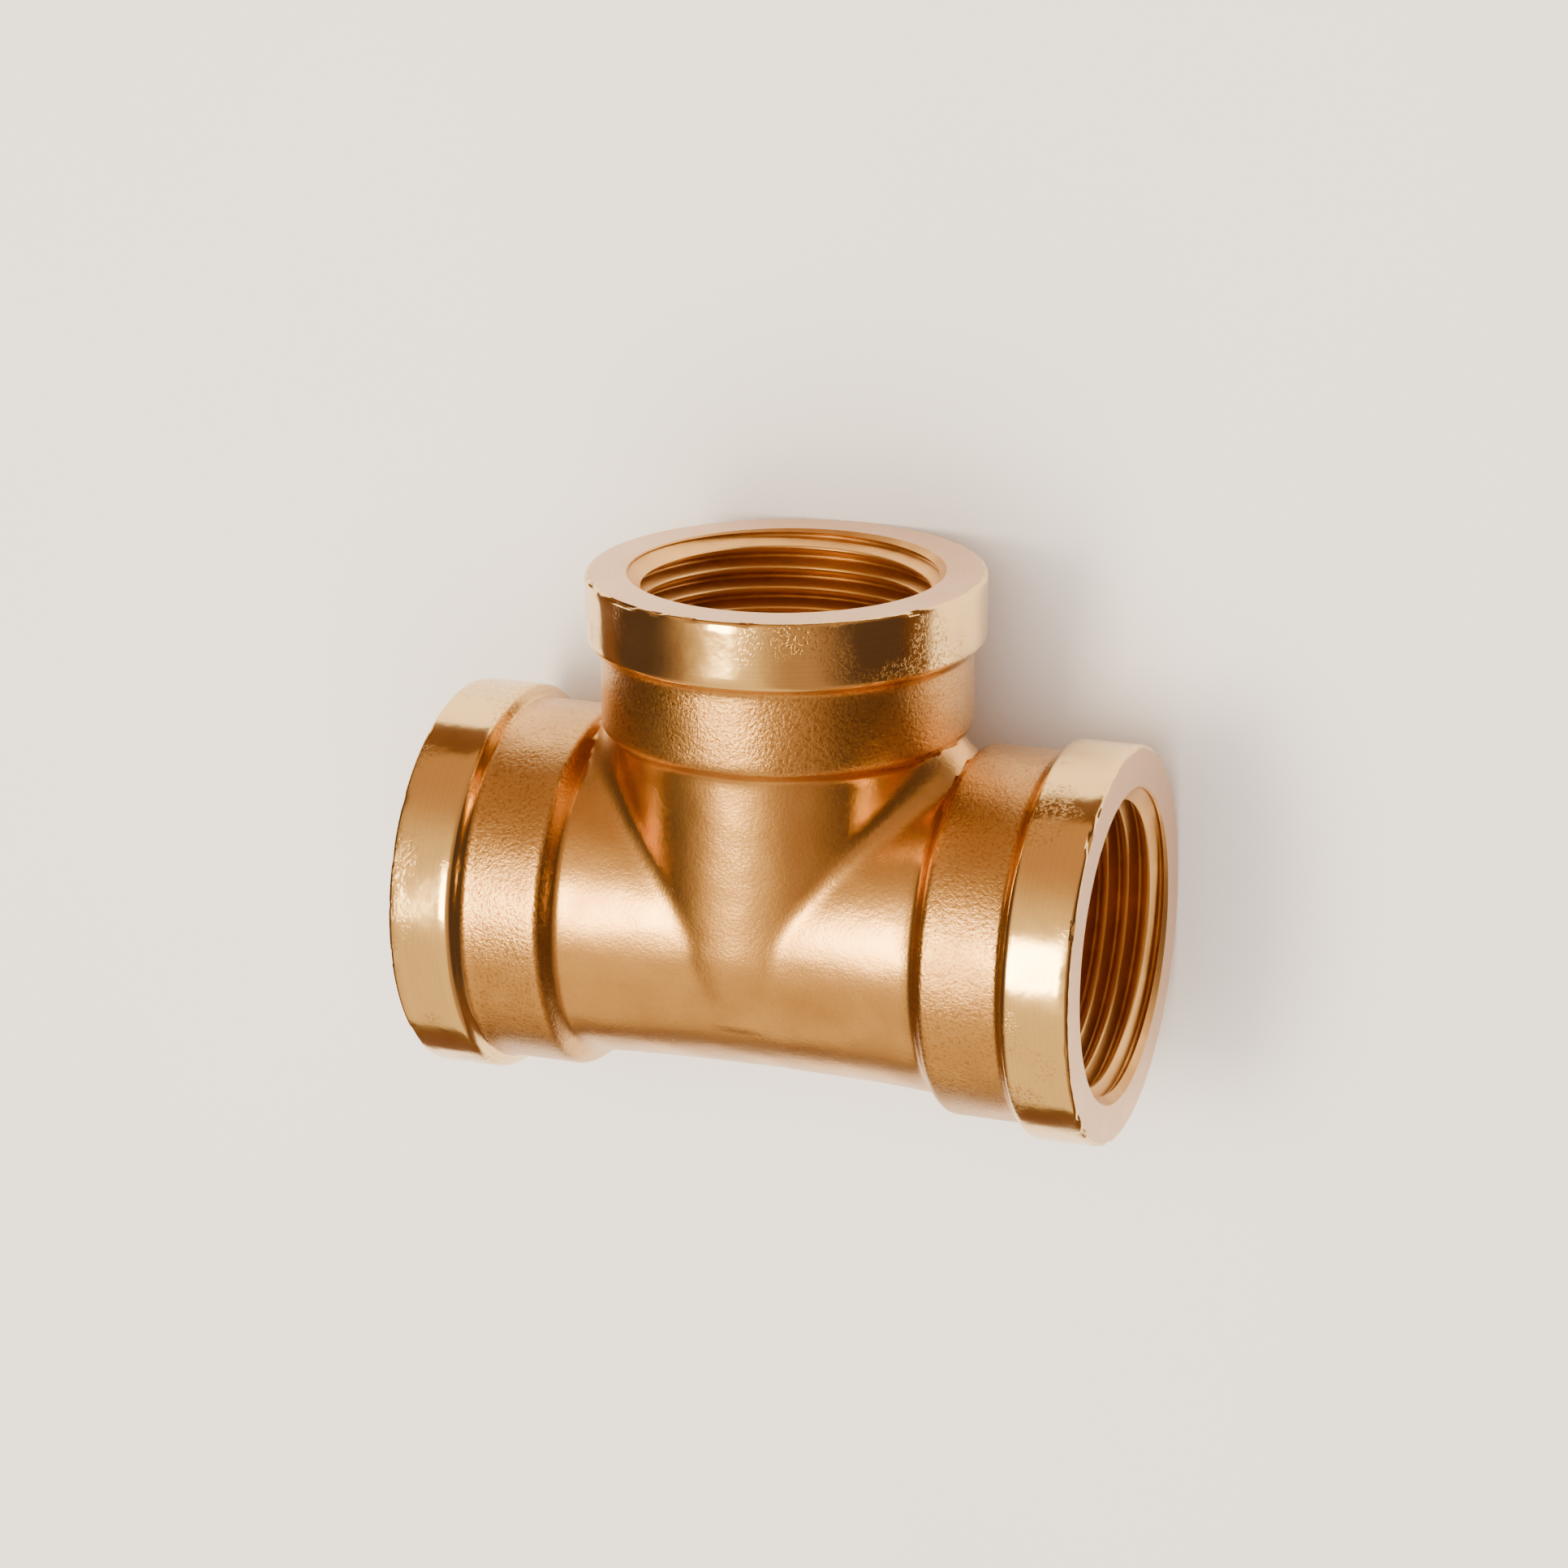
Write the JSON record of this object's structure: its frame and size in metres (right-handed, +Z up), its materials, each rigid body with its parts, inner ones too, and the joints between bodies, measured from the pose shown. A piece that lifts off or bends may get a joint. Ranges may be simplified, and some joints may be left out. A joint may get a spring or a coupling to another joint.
{
  "type": "threaded pipe tee",
  "caption": "Equal pipe tee in forged brass, with a straight run, a branch at right angles and an internally threaded port in each collar.",
  "frame": {"origin": "middle of the bottom of the whole fitting's box, on the surface that its three collars lie on", "axes": "+X along the run, +Y along the branch and out of its port, +Z up, square to both"},
  "size_m": [0.0594, 0.0464, 0.0335],
  "materials": {
    "forged_brass": "forged and shot-blasted body with turned collars and port faces and tapped threads"
  },
  "bodies": {
    "root": {"tee_body": "forged_brass"}
  },
  "joints": []
}
